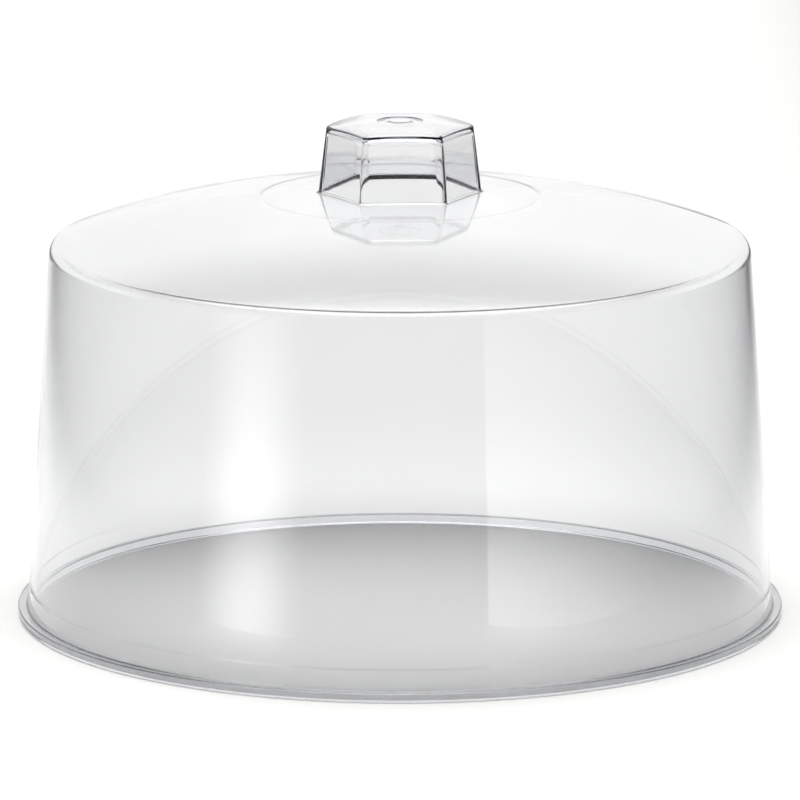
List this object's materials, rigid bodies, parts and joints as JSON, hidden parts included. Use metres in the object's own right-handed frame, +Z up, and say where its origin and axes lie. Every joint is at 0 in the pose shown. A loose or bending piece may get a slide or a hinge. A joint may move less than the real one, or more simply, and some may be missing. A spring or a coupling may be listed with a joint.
{
  "type": "cake stand dome",
  "caption": "Clear round cake cover: tapered wall, low domed crown, narrow flange at the foot and a hollow hexagonal knob.",
  "frame": {"origin": "centre of the circle that the flange stands on", "axes": "+Z up along the cover's axis; two of the knob's corners lie on the X axis, so two of its faces look along Y"},
  "size_m": [0.3048, 0.3048, 0.1975],
  "materials": {
    "clear_cover": "gloss, clear",
    "clear_knob": "gloss, clear"
  },
  "bodies": {
    "root": {"cover_shell": "clear_cover", "knob": "clear_knob"}
  },
  "joints": []
}
